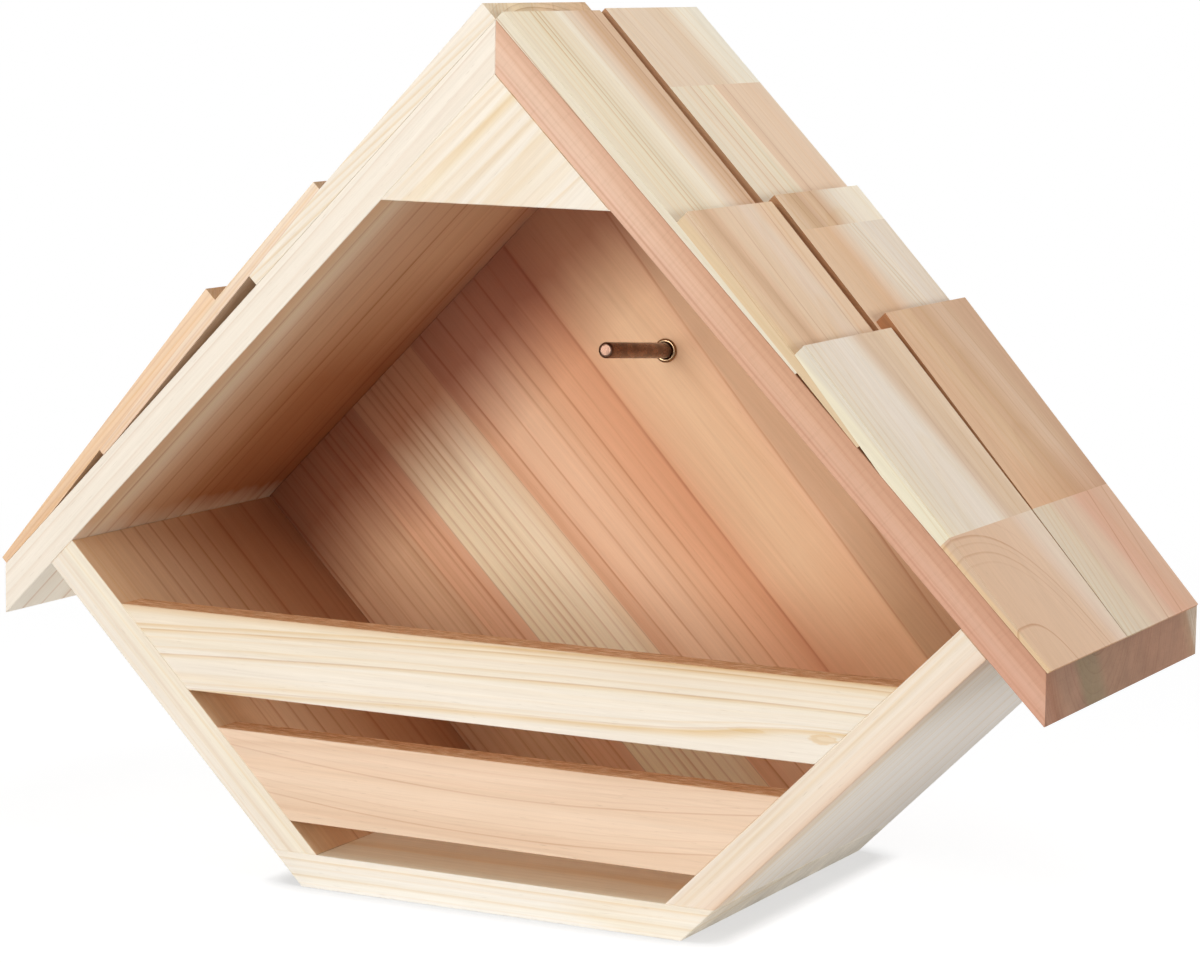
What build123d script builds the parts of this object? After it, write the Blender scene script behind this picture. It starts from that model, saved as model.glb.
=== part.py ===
from build123d import *
import os

# A wooden nest box for doves, open at the front, in millimetres.
# From the front it has a house shape: a right-angled roof stands on two boards that
# lean outwards from a narrow floor. The origin is on the ground under the middle of
# the box, +X is to the right, -Y is the open front and +Z is up.

# The case
board = 15.0
depth = 176.0
ridge_height = 357.0
roof_reach = 235.0
floor_height = 14.0
floor_half_width = 87.0
edge_ease = 0.3

# The pieces that close part of the front, and the back panel, which sits a little inside
gable_bottom = 284.5
perch_slat_bottom = 76.8
perch_slat_top = 110.2
middle_slat_bottom = 27.0
middle_slat_top = 62.4
back_recess = 5.0

# The metal peg on the back panel
peg_height = 214.0
peg_radius = 3.5
peg_length = 60.0
peg_tip_ease = 0.8
collar_radius = 5.3
collar_thickness = 1.8
tail_radius = 2.0
tail_length = 11.0
tail_hole_depth = 12.0
tail_clearance = 0.1

# Shingles lie on each slope in three rows and two columns. Each shingle is a wedge
# with its thick end up, and that end lies on the thin end of the row above.
# Runs are measured down the slope from the ridge, and heights from the roof board.
# head: run where a row starts. head_thickness: its thickness there.
# seat: height of the row above at that run. landing: run where a row meets the board.
# toe: run where a row ends. The last row ends just past the eave.
shingle_overhang = 1.5
left_rows = {
    "head": [0.0, 105.5, 174.0],
    "head_thickness": [8.6, 4.0, 6.3],
    "seat": [0.0, 7.3, 8.9],
    "landing": [0.0, 254.0, 298.0],
    "toe": [154.8, 261.0],
    "eave_thickness": 2.9,
}
right_rows = {
    "head": [0.0, 110.0, 179.5],
    "head_thickness": [4.2, 6.3, 5.4],
    "seat": [0.0, 3.0, 4.9],
    "landing": [0.0, 222.0, 236.0],
    "toe": [185.0, 222.0],
    "eave_thickness": 1.3,
}

# The left back column starts a little below the ridge. The right back column is
# thicker than the front one, and its lower rows start further up.
left_back_setback = 6.0
right_back_lift = 1.2
right_back_rise = [0.0, 2.0, 6.5]

# Some right-hand shingles are two lengths of wood, glued end to end: the upper rows at
# these runs, and the last row this far up from the end of the slope
right_back_joints = [43.7, 126.0]
right_eave_length = 63.4615

# Where the gap between the columns runs, as distances from the front: the edge of the
# front shingle and the edge of the back one, each at the shingle's head and toe
left_gap = [
    ((87.0, 86.0), (90.0, 89.5)),
    ((84.0, 85.0), (87.5, 88.0)),
    ((88.0, 86.5), (90.5, 90.0)),
]
right_gap = [
    ((83.1, 74.9), (86.1, 81.3)),
    ((76.9, 83.0), (81.0, 86.9)),
    ((84.7, 86.2), (87.2, 86.9)),
]
right_eave_gap = ((86.2, 85.4), (86.6, 85.8))

# The back column on the right stops a little short of the back: how far each shingle
# reaches at its head and toe
right_rear = [(172.2, 172.2), (164.5, 176.0), (172.7, 172.7)]

diagonal = 2**0.5
shingle_run = (roof_reach + shingle_overhang) * diagonal
front = -depth / 2
back = depth / 2
roof_underside = ridge_height - board * diagonal
panel_rear = back - back_recess
panel_face = panel_rear - board


def side_inner(z):
    """Distance from the middle to a side board's inner face at height z."""
    return floor_half_width + z - board * diagonal


# Where a side board's outer and inner faces meet the roof, from the middle
side_outer_top = (roof_underside + floor_half_width) / 2
side_inner_top = side_outer_top - board / diagonal


def prism(outline, y_start, y_end):
    """A solid with an outline of (x, z) points, between two depths."""
    corners = [(x, y_start, z) for x, z in outline]
    face = make_face(Polyline(*corners, close=True))
    return extrude(face, amount=y_end - y_start, dir=(0, 1, 0))


def plank(outline, y_start, y_end):
    """A board: a prism with all its edges slightly eased."""
    solid = prism(outline, y_start, y_end)
    return chamfer(solid.edges(), length=edge_ease)


def on_both_sides(name, solid):
    """The piece as modelled on the right, and its mirror image on the left."""
    return {
        f"right_{name}": solid,
        f"left_{name}": mirror(solid, about=Plane.YZ),
    }


def floor():
    """The floor board; its ends are cut to the slant of the side boards."""
    top_half_width = floor_half_width + floor_height
    outline = [
        (-floor_half_width, 0),
        (floor_half_width, 0),
        (top_half_width, floor_height),
        (-top_half_width, floor_height),
    ]
    return {"bottom_board": plank(outline, front, back)}


def side_boards():
    """Two boards that lean outwards at 45 degrees, from the floor to the roof."""
    outline = [
        (side_inner(floor_height), floor_height),
        (floor_half_width + floor_height, floor_height),
        (side_outer_top, roof_underside - side_outer_top),
        (side_inner_top, roof_underside - side_inner_top),
    ]
    return on_both_sides("side_board", plank(outline, front, back))


def roof_boards():
    """Two boards mitred together at the ridge, cut off plumb at the eaves."""
    outline = [
        (0, roof_underside),
        (roof_reach, roof_underside - roof_reach),
        (roof_reach, ridge_height - roof_reach),
        (0, ridge_height),
    ]
    return on_both_sides("roof_board", plank(outline, front, back))


def gable():
    """The small triangle under the ridge, above the opening."""
    half_width = roof_underside - gable_bottom
    outline = [
        (-half_width, gable_bottom),
        (half_width, gable_bottom),
        (0, roof_underside),
    ]
    return {"front_gable": plank(outline, front, front + board)}


def slat(bottom, top):
    """A slat across the front, cut to fit between the side boards."""
    outline = [
        (-side_inner(bottom), bottom),
        (side_inner(bottom), bottom),
        (side_inner(top), top),
        (-side_inner(top), top),
    ]
    return plank(outline, front, front + board)


def rod(radius, y_start, y_end):
    """A round rod along Y, at the height of the peg."""
    start = Plane(origin=(0, y_start, peg_height), x_dir=(1, 0, 0), z_dir=(0, 1, 0))
    return extrude(start * Circle(radius), amount=y_end - y_start)


def back_panel():
    """The panel that fills the back of the case, with a blind hole for the peg."""
    outline = [
        (-side_inner(floor_height), floor_height),
        (side_inner(floor_height), floor_height),
        (side_inner_top, roof_underside - side_inner_top),
        (0, roof_underside),
        (-side_inner_top, roof_underside - side_inner_top),
    ]
    panel = plank(outline, panel_face, panel_rear)
    hole = rod(tail_radius + tail_clearance, panel_face, panel_face + tail_hole_depth)
    return {"back_panel": panel - hole}


def peg():
    """A round metal peg that stands forward from the panel, with a collar at its root."""
    shank = rod(peg_radius, panel_face - peg_length, panel_face)
    tip = shank.edges().sort_by(Axis.Y)[0]
    shank = chamfer(tip, length=peg_tip_ease)
    tail = rod(tail_radius, panel_face, panel_face + tail_length)
    collar_front = panel_face - collar_thickness
    collar = rod(collar_radius, collar_front, panel_face) - rod(peg_radius, collar_front, panel_face)
    return {"peg": shank + tail, "peg_collar": collar}


def column(rows, setback=0.0, lift=0.0, rise=(0.0, 0.0, 0.0)):
    """Outlines of one column's shingles, from the ridge down, as (run, height) points."""
    last = len(rows["head"]) - 1
    heads = [run - up for run, up in zip(rows["head"], rise)]
    seats = [height + lift if row else 0.0 for row, height in enumerate(rows["seat"])]
    outlines = []

    for row in range(last + 1):
        start = heads[row] + (0.0 if row else setback)
        top = seats[row] + rows["head_thickness"][row] + (0.0 if row else lift)
        landing = rows["landing"][row]

        if row < last:
            toe = rows["toe"][row]
            next_head, next_seat = heads[row + 1], seats[row + 1]
            to_landing = rows["landing"][row + 1] - toe
            toe_top = next_seat * to_landing / (to_landing + toe - next_head)
            upper = [(toe, toe_top), (next_head, next_seat), (start, top)]
        else:
            toe = shingle_run - rows["eave_thickness"]
            upper = [(toe, rows["eave_thickness"]), (start, top)]

        lower = [(start, seats[row])]
        if start < landing < toe:
            lower.append((landing, 0.0))
        lower.append((toe, 0.0))
        outlines.append(lower + upper)

    return outlines


def wedge(outline, front_edge, back_edge, start=None, stop=None):
    """A shingle on the right slope, or the length of it between two runs.

    Each edge gives the distance from the front at the head and at the toe.
    """
    runs = [run for run, height in outline]
    start = min(runs) if start is None else start
    stop = max(runs) if stop is None else stop
    profile = prism(outline, 0, depth)
    plan = [
        (start, front_edge[0]),
        (stop, front_edge[1]),
        (stop, back_edge[1]),
        (start, back_edge[0]),
    ]
    tallest = max(height for run, height in outline)
    footprint = extrude(make_face(Polyline(*plan, close=True)), amount=tallest)
    return Pos(0, front, ridge_height) * Rot(0, 45, 0) * (profile & footprint)


def along(edge, outline, run):
    """The edge's place at a run between the outline's head and toe."""
    head = min(point[0] for point in outline)
    toe = max(point[0] for point in outline)
    return edge[0] + (edge[1] - edge[0]) * (run - head) / (toe - head)


def left_shingles():
    """Six shingles on the left slope, modelled on the right and mirrored."""
    front_column = column(left_rows)
    back_column = column(left_rows, setback=left_back_setback)
    pieces = {}

    for row, (front_gap, back_gap) in enumerate(left_gap):
        near = wedge(front_column[row], (0, 0), front_gap)
        far = wedge(back_column[row], back_gap, (depth, depth))
        pieces[f"left_shingle_front_{row + 1}"] = mirror(near, about=Plane.YZ)
        pieces[f"left_shingle_back_{row + 1}"] = mirror(far, about=Plane.YZ)

    return pieces


def right_shingles():
    """The shingles on the right slope; some are two lengths glued end to end."""
    front_column = column(right_rows)
    back_column = column(right_rows, lift=right_back_lift, rise=right_back_rise)
    flush = (0, 0)
    pieces = {}

    for row in (0, 1):
        front_gap, back_gap = right_gap[row]
        rear = right_rear[row]
        pieces[f"right_shingle_front_{row + 1}"] = wedge(front_column[row], flush, front_gap)
        joint = right_back_joints[row]
        gap_at_joint = along(back_gap, back_column[row], joint)
        rear_at_joint = along(rear, back_column[row], joint)
        head_edges = (back_gap[0], gap_at_joint), (rear[0], rear_at_joint)
        toe_edges = (gap_at_joint, back_gap[1]), (rear_at_joint, rear[1])
        name = f"right_shingle_back_{row + 1}"
        pieces[f"{name}_head"] = wedge(back_column[row], *head_edges, stop=joint)
        pieces[name] = wedge(back_column[row], *toe_edges, start=joint)

    front_gap, back_gap = right_gap[2]
    rear = right_rear[2]
    front_eave, back_eave = right_eave_gap
    joint = shingle_run - right_eave_length
    pieces["right_shingle_front_3"] = wedge(front_column[2], flush, front_gap, stop=joint)
    pieces["right_shingle_front_3_toe"] = wedge(front_column[2], flush, front_eave, start=joint)
    pieces["right_shingle_back_3"] = wedge(back_column[2], back_gap, rear, stop=joint)
    pieces["right_shingle_back_3_toe"] = wedge(back_column[2], back_eave, rear, start=joint)
    return pieces


nodes = {
    **floor(),
    **side_boards(),
    **roof_boards(),
    **gable(),
    "perch_slat": slat(perch_slat_bottom, perch_slat_top),
    "middle_slat": slat(middle_slat_bottom, middle_slat_top),
    **back_panel(),
    **peg(),
    **left_shingles(),
    **right_shingles(),
}

os.makedirs("parts", exist_ok=True)
for name, solid in nodes.items():
    export_step(solid, f"parts/{name}.step")
    print(f"{name}: {solid.volume / 1000:.1f} cm3")
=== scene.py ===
# %% [markdown]
# # A shingled nest box in pale softwood
#
# This lesson dresses a finished construction. The boards, slats, shingles and the metal
# peg arrive as solids at their real size, and they already fit. What they lack is what
# makes wood look like wood: growth rings that run through a board and come out at its
# end, streaks of sapwood and heartwood, saw marks and glue lines.

import bpy
import math
from mathutils import Matrix, Vector


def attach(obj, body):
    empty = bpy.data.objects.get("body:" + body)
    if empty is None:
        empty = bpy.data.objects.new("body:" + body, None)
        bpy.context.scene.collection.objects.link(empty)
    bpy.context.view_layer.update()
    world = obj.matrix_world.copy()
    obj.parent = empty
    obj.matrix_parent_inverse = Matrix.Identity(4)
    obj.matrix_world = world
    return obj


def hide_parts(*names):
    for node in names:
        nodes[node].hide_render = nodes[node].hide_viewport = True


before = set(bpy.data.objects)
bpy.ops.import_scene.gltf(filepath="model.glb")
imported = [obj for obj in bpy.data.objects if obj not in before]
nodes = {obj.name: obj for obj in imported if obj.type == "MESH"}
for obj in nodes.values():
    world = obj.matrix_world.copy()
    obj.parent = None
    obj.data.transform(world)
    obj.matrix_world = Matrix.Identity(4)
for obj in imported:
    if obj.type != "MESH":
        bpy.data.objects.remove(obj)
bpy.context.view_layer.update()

# %% [markdown]
# ## The camera
#
# The camera comes first, because every later choice is judged through it. The box is
# seen from a little to its right and from just above the ridge, through a long lens, so
# the lines that run back hardly close up. A long lens far away could also be copied by
# a short lens with a crop, but then the slopes of the roof would come out too steep.

# %% Place the camera
MM = 0.001
LENS = 114.2
SENSOR = 36.0
CAMERA_AT = Vector((716.8, -1397.8, 383.0)) * MM
TURN, TILT, ROLL = math.radians(27.03), math.radians(7.90), math.radians(0.84)

camera_data = bpy.data.cameras.new("camera")
camera_data.lens = LENS
camera_data.sensor_width = SENSOR
camera_data.sensor_fit = "HORIZONTAL"
camera_data.clip_start = 0.05
camera_data.clip_end = 200.0
camera = bpy.data.objects.new("camera", camera_data)
camera.matrix_world = (
    Matrix.Translation(CAMERA_AT)
    @ Matrix.Rotation(TURN, 4, "Z")
    @ Matrix.Rotation(math.radians(90) - TILT, 4, "X")
    @ Matrix.Rotation(ROLL, 4, "Z")
)
bpy.context.scene.collection.objects.link(camera)
bpy.context.scene.camera = camera
print("camera at", [round(c, 3) for c in camera.matrix_world.translation])

# %% [markdown]
# ## Wiring
#
# A material is a net of small nodes, and so is the sky. They could be joined by hand in
# the shader editor; in a script each join is a long line of its own. This helper keeps
# one net together and makes a node and its joins in one line, so that the floor, the sky
# and the wood below can be read.


# %% A small helper for nodes
class Wiring:
    """The nodes of a material or a world, added and joined in one go."""

    def __init__(self, owner):
        self.owner = owner
        owner.use_nodes = True
        self.tree = owner.node_tree
        self.tree.nodes.clear()

    def put(self, value, socket):
        """Join another node's output to a socket, or set the socket to a value."""
        if isinstance(value, bpy.types.NodeSocket):
            self.tree.links.new(value, socket)
        else:
            socket.default_value = value

    def node(self, kind, inputs=(), **settings):
        """A node with its settings; inputs are matched by position or by name."""
        made = self.tree.nodes.new(f"ShaderNode{kind}")
        for key_word, value in settings.items():
            setattr(made, key_word, value)
        pairs = inputs.items() if isinstance(inputs, dict) else enumerate(inputs)
        for socket, value in pairs:
            self.put(value, made.inputs[socket])
        return made

    def math(self, operation, *values):
        return self.node("Math", values, operation=operation).outputs[0]

    def times(self, one, two, plus=None):
        """The product of two values, with a third added where it is given."""
        if plus is None:
            return self.math("MULTIPLY", one, two)
        return self.math("MULTIPLY_ADD", one, two, plus)

    def vector(self, operation, *values):
        return self.node("VectorMath", values, operation=operation).outputs[0]

    def span(self, value, start, end, low=0.0, high=1.0, curve="LINEAR"):
        """A value between start and end, stretched to run from low to high."""
        inputs = {"Value": value, "From Min": start, "From Max": end, "To Min": low, "To Max": high}
        return self.node("MapRange", inputs, interpolation_type=curve).outputs[0]

    def noise(self, where, stretch, detail=2.0, rough=0.5):
        """Noise whose lumps are about as long as stretch says each way, in the place's unit."""
        scaled = self.vector("DIVIDE", where, stretch)
        inputs = {"Vector": scaled, "Scale": 1.0, "Detail": detail, "Roughness": rough}
        return self.node("TexNoise", inputs).outputs[0]

    def surface(self, shader, output="OutputMaterial"):
        """Join a shader to the output, and hand back the finished material or world."""
        self.put(shader, self.node(output).inputs["Surface"])
        return self.owner


print("wiring ready")

# %% [markdown]
# ## The room
#
# The box stands on a white studio floor that runs back so far that no horizon shows. A
# plain sheet would do for the floor, but it should look white and still catch the soft
# shadow under the box. So near the box the camera sees a mixture of plain white and the
# lit floor, and further away only white. Right against the box the white dims a little,
# by ambient occlusion, because a thing that stands always has a dark seam under its edge.
# The box itself is lit by what a pale floor would really throw back.

# %% A pale floor that keeps the shadow
FLOOR_SIZE = 90.0
FLOOR_SHIFT = 0.3
FLOOR_TONE = 0.9
SHADOW_SHARE = 0.30
OPEN_FLOOR_LIGHT = 0.45
SHADOW_FADES = (0.45, 1.1)
CONTACT_REACH = 0.015
CONTACT_OPENNESS = (0.5, 0.98)
CONTACT_TONE = 0.68
WHITE = (1.0, 1.0, 1.0, 1.0)

bpy.ops.object.select_all(action="DESELECT")
bpy.ops.mesh.primitive_plane_add(size=FLOOR_SIZE, location=(0, FLOOR_SIZE * FLOOR_SHIFT, 0))
floor = bpy.context.object
floor.name = "studio_floor"
bpy.ops.object.transform_apply(location=True)

w = Wiring(bpy.data.materials.new("studio_floor_white"))
lit = w.node("BsdfDiffuse", {"Color": (FLOOR_TONE, FLOOR_TONE, FLOOR_TONE, 1.0)}).outputs[0]
openness = w.node("AmbientOcclusion", {"Distance": CONTACT_REACH}).outputs["AO"]
dimmed = w.span(openness, *CONTACT_OPENNESS, CONTACT_TONE)
strength = (1 - SHADOW_SHARE * FLOOR_TONE * OPEN_FLOOR_LIGHT) / (1 - SHADOW_SHARE)
white = w.node("Emission", {"Color": dimmed, "Strength": strength}).outputs[0]
plain = w.node("Emission", {"Color": WHITE, "Strength": 1.0}).outputs[0]
away = w.node("VectorMath", [w.node("TexCoord").outputs["Object"]], operation="LENGTH")
far = w.span(away.outputs["Value"], *SHADOW_FADES, curve="SMOOTHSTEP")
caught = w.node("MixShader", [SHADOW_SHARE, white, lit]).outputs[0]
for_camera = w.node("MixShader", [far, caught, plain]).outputs[0]
seen = w.node("LightPath").outputs["Is Camera Ray"]
paper = w.surface(w.node("MixShader", [seen, lit, for_camera]).outputs[0])
floor.data.materials.append(paper)
print("floor reaches back", FLOOR_SIZE * (0.5 + FLOOR_SHIFT), "m")

# %% [markdown]
# ## The light
#
# The inner left walls lie in the shade, the middle of the back panel is bright, and the
# peg throws its shadow to the right. So the main light stands low and a little to the
# left of the front. A second, weaker one on the right lights the right slope and the side
# under it, a small one over the ridge makes the upper shingles a little lighter than the
# lower ones, and an even sky fills the rest. A weak card on the floor lights the underside
# of the left eave, which faces away from every lamp. One lamp over the box would be
# simpler, but it would never reach into the hollow. The lamps are set so that a white card
# facing the front would just come out white: then every colour below renders about as it
# is written.

# %% Sky
SKY = 0.24
w = Wiring(bpy.data.worlds.new("studio"))
sky = w.node("Background", {"Color": WHITE, "Strength": SKY}).outputs[0]
bright = w.node("Background", {"Color": WHITE, "Strength": 1.0}).outputs[0]
ray = w.node("LightPath")
seen = w.math("MAXIMUM", ray.outputs["Is Camera Ray"], ray.outputs["Is Glossy Ray"])
mixed = w.node("MixShader", [seen, sky, bright]).outputs[0]
bpy.context.scene.world = w.surface(mixed, "OutputWorld")
bpy.context.scene.view_settings.view_transform = "Standard"
print("sky strength", SKY)


# %% Lamps
def lamp(name, place, target, size, power):
    """A square soft lamp at a place, turned towards a target."""
    data = bpy.data.lights.new(name, "AREA")
    data.shape = "SQUARE"
    data.size = size
    data.energy = power
    light = bpy.data.objects.new(name, data)
    aim = (Vector(target) - Vector(place)).to_track_quat("-Z", "Y")
    light.matrix_world = Matrix.Translation(place) @ aim.to_matrix().to_4x4()
    bpy.context.scene.collection.objects.link(light)
    return light


MIDDLE = (0, 0, 0.18)
lamps = [
    lamp("key_lamp", (-0.50, -2.30, 0.56), MIDDLE, 1.2, 35.0),
    lamp("side_lamp", (2.20, 0.20, 0.22), MIDDLE, 1.3, 23.5),
    lamp("roof_lamp", (0.45, -0.20, 1.10), MIDDLE, 0.6, 3.3),
]
eave_card = lamp("eave_card", (-0.205, -0.02, 0.012), (-0.225, -0.02, 0.112), 0.12, 0.038)
eave_card.visible_camera = False
for light in [*lamps, eave_card]:
    print(light.name, light.data.energy, "W")

# %% [markdown]
# ## Softwood
#
# A board is a slice of a tree. Seen on the end, the rings are arcs around the heart of
# the tree; along the board they are the long lines of the grain. A picture of grain laid
# on each face would break at every corner, so the wood is worked out in three dimensions:
# whatever face the saw has opened shows its own slice of the same rings.
#
# Each piece has its own lie, a corner and a turn, so that the first direction runs along
# the grain, the second across the board and the third through it, all in millimetres.


# %% A piece's own directions
def lay(w, lie):
    """Places on a piece in its own lie, in mm: along the grain, across it and through it."""
    corner, turn = lie
    inputs = {
        "Vector": w.node("TexCoord").outputs["Object"],
        "Location": Vector(corner) * MM,
        "Rotation": [math.radians(a) for a in turn],
        "Scale": (MM, MM, MM),
    }
    return w.node("Mapping", inputs, vector_type="TEXTURE").outputs[0]


def own_way(turn, own):
    """One of a piece's own directions, in the frame of the whole box."""
    turned = Vector(own)
    for axis, angle in zip("XYZ", turn):
        turned = Matrix.Rotation(math.radians(angle), 3, axis) @ turned
    return tuple(turned)


print("grain of the right slope runs", [round(c, 2) for c in own_way((0, 45, 0), (1, 0, 0))])

# %% [markdown]
# Every step of the wood asks where it is in the board. So the wiring of a board works
# that out once: the place in its own lie, the same place moved aside so that no two
# pieces share their noise, and two slow bends, because nothing in a tree is dead
# straight. In a board that is glued up, another tree begins past each joint.

# %% The board under work
ALONG, ACROSS, THROUGH = (1, 0, 0), (0, 1, 0), (0, 0, 1)
SLOW_BEND = (240, 40, 40)
QUICK_BEND = (60, 7, 7)
NEXT_TREE = (57.0, 13.0)
NEXT_PIECE = (311.0, 97.0, 53.0)


class Board(Wiring):
    """The wiring of one board, with the places in it that all the steps share."""

    def __init__(self, name, lie, joints, seed):
        super().__init__(bpy.data.materials.new(name))
        self.lie = lie
        self.joints = joints
        self.place = lay(self, lie)
        self.along, self.across, self.through = self.node("SeparateXYZ", [self.place]).outputs
        self.plank = 0.0
        for joint in joints:
            past = self.math("GREATER_THAN", self.across, float(joint))
            self.plank = self.math("ADD", self.plank, past)
        aside = self.node("CombineXYZ", [self.times(self.plank, mm) for mm in NEXT_TREE])
        moved = self.vector("ADD", self.place, aside.outputs[0])
        self.moved = self.vector("ADD", moved, [seed * mm for mm in NEXT_PIECE])
        self.slow = self.math("SUBTRACT", self.grain(SLOW_BEND, 1.0), 0.5)
        self.quick = self.math("SUBTRACT", self.grain(QUICK_BEND), 0.5)

    def grain(self, stretch, detail=2.0, rough=0.5):
        """Noise of this board alone, along, across and through it."""
        return self.noise(self.moved, stretch, detail, rough)

    def faces(self, own, start=0.86, full=0.92, both_ways=True):
        """1 on the faces that look along one of the board's own directions, 0 elsewhere."""
        sides = [self.node("TexCoord").outputs["Normal"], own_way(self.lie[1], own)]
        dot = self.node("VectorMath", sides, operation="DOT_PRODUCT").outputs["Value"]
        if both_ways:
            dot = self.math("ABSOLUTE", dot)
        return self.span(dot, start, full)


print("board ready")

# %% [markdown]
# Colours are written as a painter reads them, 0 to 255 a channel, and turned into the
# linear light that shaders reckon with. Across a board they run over into each other, so
# a colour ramp with its stops in millimetres holds them. A stain multiplies what is
# there, as a real one does, and so the grain stays under it.


# %% Colours
def srgb(red, green, blue):
    """A colour from 0 to 255 a channel, in the linear light of shaders."""
    def linear(channel):
        c = channel / 255
        return c / 12.92 if c <= 0.04045 else ((c + 0.055) / 1.055) ** 2.4

    return linear(red), linear(green), linear(blue), 1.0


def painted(stops):
    """Stops with their painter's colours turned into light."""
    return [(mm, srgb(*colour)) for mm, colour in stops]


def greys(stops):
    """Stops from black, 0, to white, 1."""
    return [(mm, (tone, tone, tone, 1.0)) for mm, tone in stops]


def mix(w, factor, first, second, blend="MIX"):
    """One colour laid over another, as strong as the factor says."""
    made = w.node("Mix", data_type="RGBA", blend_type=blend)
    w.put(factor, made.inputs[0])
    w.put(first, made.inputs[6])
    w.put(second, made.inputs[7])
    return made.outputs[2]


def stain(w, factor, colour, tint):
    """A colour multiplied by a tint, as strong as the factor says."""
    return mix(w, factor, colour, (*tint, 1.0), "MULTIPLY")


def ramp(w, factor, stops):
    """A colour ramp from (place, colour) stops."""
    made = w.node("ValToRGB", [factor])
    points = made.color_ramp.elements
    while len(points) < len(stops):
        points.new(0.5)
    for point, (place, colour) in zip(points, stops):
        point.position = place
    for point, (place, colour) in zip(points, stops):
        point.color = colour
    return made.outputs[0]


def banded(w, value, stops):
    """Colours at places in mm along a value, each running over into the next."""
    first, last = stops[0][0], stops[-1][0]
    share = w.span(value, first, last)
    return ramp(w, share, [((mm - first) / (last - first), colour) for mm, colour in stops])


print("a middle grey of 128 is", round(srgb(128, 128, 128)[0], 3), "in linear light")

# %% [markdown]
# The grain is the distance across the board, bent by what the tree did. `slant` carries
# it round the corner onto the board's edge. A swirl pushes it round a hidden knot, and a
# fan spreads it past a line. The broad colours follow it, as sapwood and heartwood lie
# side by side in a board.


# %% Grain that bends
QUICK_STRAY = 0.8


def from_spot(w, spot):
    """How far a place is from a spot, squared, 1 at the rim of its oval."""
    at_along, at_across, length, height = spot[:4]
    one = w.math("DIVIDE", w.math("SUBTRACT", w.along, at_along), length)
    two = w.math("DIVIDE", w.math("SUBTRACT", w.across, at_across), height)
    return w.math("ADD", w.math("POWER", one, 2.0), w.math("POWER", two, 2.0))


def bend_grain(w, slant, lift, middle, wander, swirl, fan):
    """The distance across the board as the grain runs."""
    bent = w.times(w.math("SUBTRACT", w.through, lift), slant, w.across)
    if swirl:
        bulge = w.math("POWER", math.e, w.times(from_spot(w, swirl), -1.0))
        bent = w.times(bulge, swirl[4], bent)
    if fan:
        past = w.math("MAXIMUM", w.math("SUBTRACT", w.across, fan[0]), 0.0)
        spread = w.times(past, w.math("SUBTRACT", w.along, middle))
        bent = w.times(spread, fan[1], bent)
    bent = w.times(w.slow, wander, bent)
    return w.times(w.quick, QUICK_STRAY, bent)


print("bent grain ready")


# %% Broad colours
UNEVEN_START = 12.0


def broad_colours(w, bent, bands, later, inside):
    """Bands of colour along the board, and on its inner face, partly painted light and shade."""
    colour = banded(w, bent, painted(bands))
    uneven_along = w.times(w.quick, UNEVEN_START, w.along)
    # Along the board: the wood's own changes, and on the back panel's strips painted shade.
    for start, stop, later_bands in later:
        reached = w.span(uneven_along, start, stop)
        colour = mix(w, reached, colour, banded(w, bent, painted(later_bands)))
    # Painted shade, and some painted light, on the face that looks into the hollow.
    for start, stop, inner_shading_bands in inside:
        inner_face = w.faces(THROUGH, both_ways=False)
        reached = w.times(w.span(uneven_along, start, stop), inner_face)
        colour = mix(w, reached, colour, banded(w, bent, painted(inner_shading_bands)))
    return colour


def narrow_faces(w, colour, edge, gap_shade):
    """The narrow faces with a tint of their own, and painted shade on those in the gaps between
    shingles.
    """
    if edge:
        colour = stain(w, w.faces(ACROSS), colour, edge)
    # Painted shade on the narrow faces that lie in the gaps between shingles.
    if gap_shade:
        start, stop, tint = gap_shade
        after, before = w.math("GREATER_THAN", w.across, start), w.math("LESS_THAN", w.across, stop)
        between = w.times(after, before)
        colour = stain(w, w.times(between, w.faces(ACROSS)), colour, tint)
    return colour


print("broad colours ready")

# %% [markdown]
# The lines that catch the eye on a board are a few growth rings that happen to be dark.
# Noise alone would put them anywhere, so these few are listed, as distances across
# the board. `tilt` lets them run out of true along the board, `bow` bends them, and
# `loops` closes them into the long arches of a flat-sawn board.

# %% Marked lines
LINES_PER_RAMP = 8
SLOW_SIDE, SHARP_SIDE = 1.3, 0.5
ARCH_POWER = 3.0


def run_across(w, bent, tilt, bow, middle, loops):
    """The distance across the board by which marked lines are found."""
    from_middle = w.math("SUBTRACT", w.along, middle)
    if loops:
        centre, stretch = loops
        one = w.math("ABSOLUTE", w.math("DIVIDE", from_middle, stretch))
        two = w.math("ABSOLUTE", w.math("SUBTRACT", bent, centre))
        powers = w.math("ADD", w.math("POWER", one, ARCH_POWER), w.math("POWER", two, ARCH_POWER))
        return w.math("POWER", powers, 1 / ARCH_POWER)
    run = w.times(from_middle, -tilt, bent)
    square = w.times(from_middle, from_middle)
    return w.times(square, -bow, run)


def marked_lines(w, run, lines):
    """How dark the marked lines are at each place, from 0 to 1; each is (mm, darkness, width)."""
    total = None
    lines = sorted(lines)
    for start in range(0, len(lines), LINES_PER_RAMP):
        part = lines[start:start + LINES_PER_RAMP]
        stops = [(part[0][0] - 2 * part[0][2] - 1, 0)]
        for mm, dark, width in part:
            stops += [(mm - SLOW_SIDE * width, 0), (mm, dark), (mm + SHARP_SIDE * width, 0)]
        stops.append((stops[-1][0] + 1, 0))
        dark = banded(w, run, greys(stops))
        total = dark if total is None else w.math("MAXIMUM", total, dark)
    return total


print("marked lines ready")

# %% [markdown]
# Between the marked lines lie the quiet rings. The distance from a heart line beside the
# board is cut into years, a little uneven, and in each year the tone goes slowly down to
# the late wood and then springs back. The heart line leans against the board, because no
# tree grows quite straight, and that makes the rings run out at the board's edges.

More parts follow.
